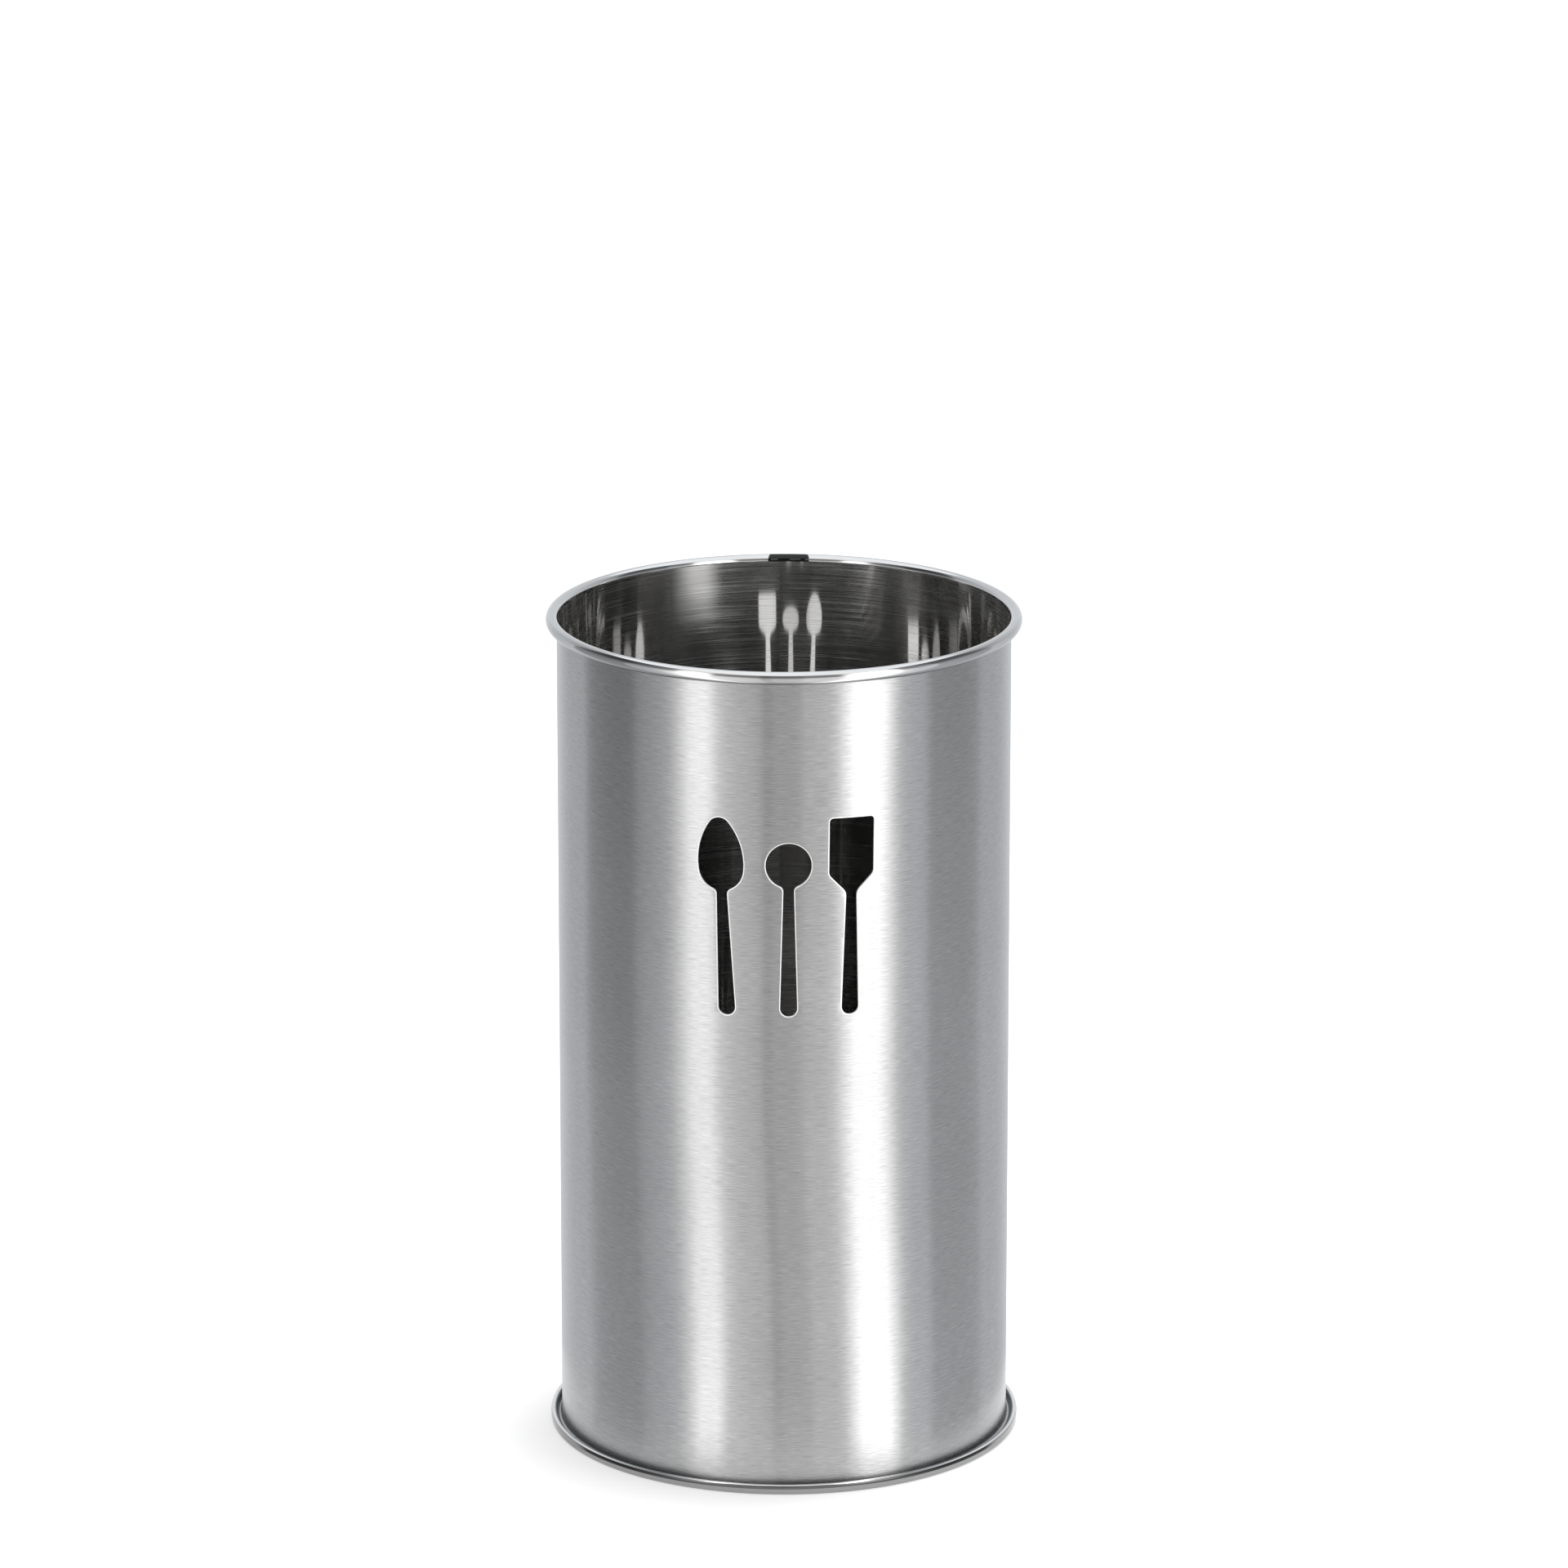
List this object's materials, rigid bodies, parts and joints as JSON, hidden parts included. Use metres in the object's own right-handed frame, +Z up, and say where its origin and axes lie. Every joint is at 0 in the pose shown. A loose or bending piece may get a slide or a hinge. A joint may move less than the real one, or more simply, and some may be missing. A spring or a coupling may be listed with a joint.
{
  "type": "utensil holder",
  "caption": "Tall open cylinder of brushed stainless sheet with a rolled rim, punched utensil outlines and a seamed-on base, for standing kitchen utensils in.",
  "frame": {"origin": "centre of the base, on the surface that the holder stands on", "axes": "+Z up along the sleeve; the punched outlines face -Y, with +X to the right seen from the front"},
  "size_m": [0.105, 0.105, 0.187],
  "materials": {
    "sleeve_steel": "brushed round the outside, bright inside and on the rolled rim",
    "base_steel": "bright, polished on the folded rim"
  },
  "bodies": {
    "root": {"body_wall": "sleeve_steel", "base_plate": "base_steel"}
  },
  "joints": []
}
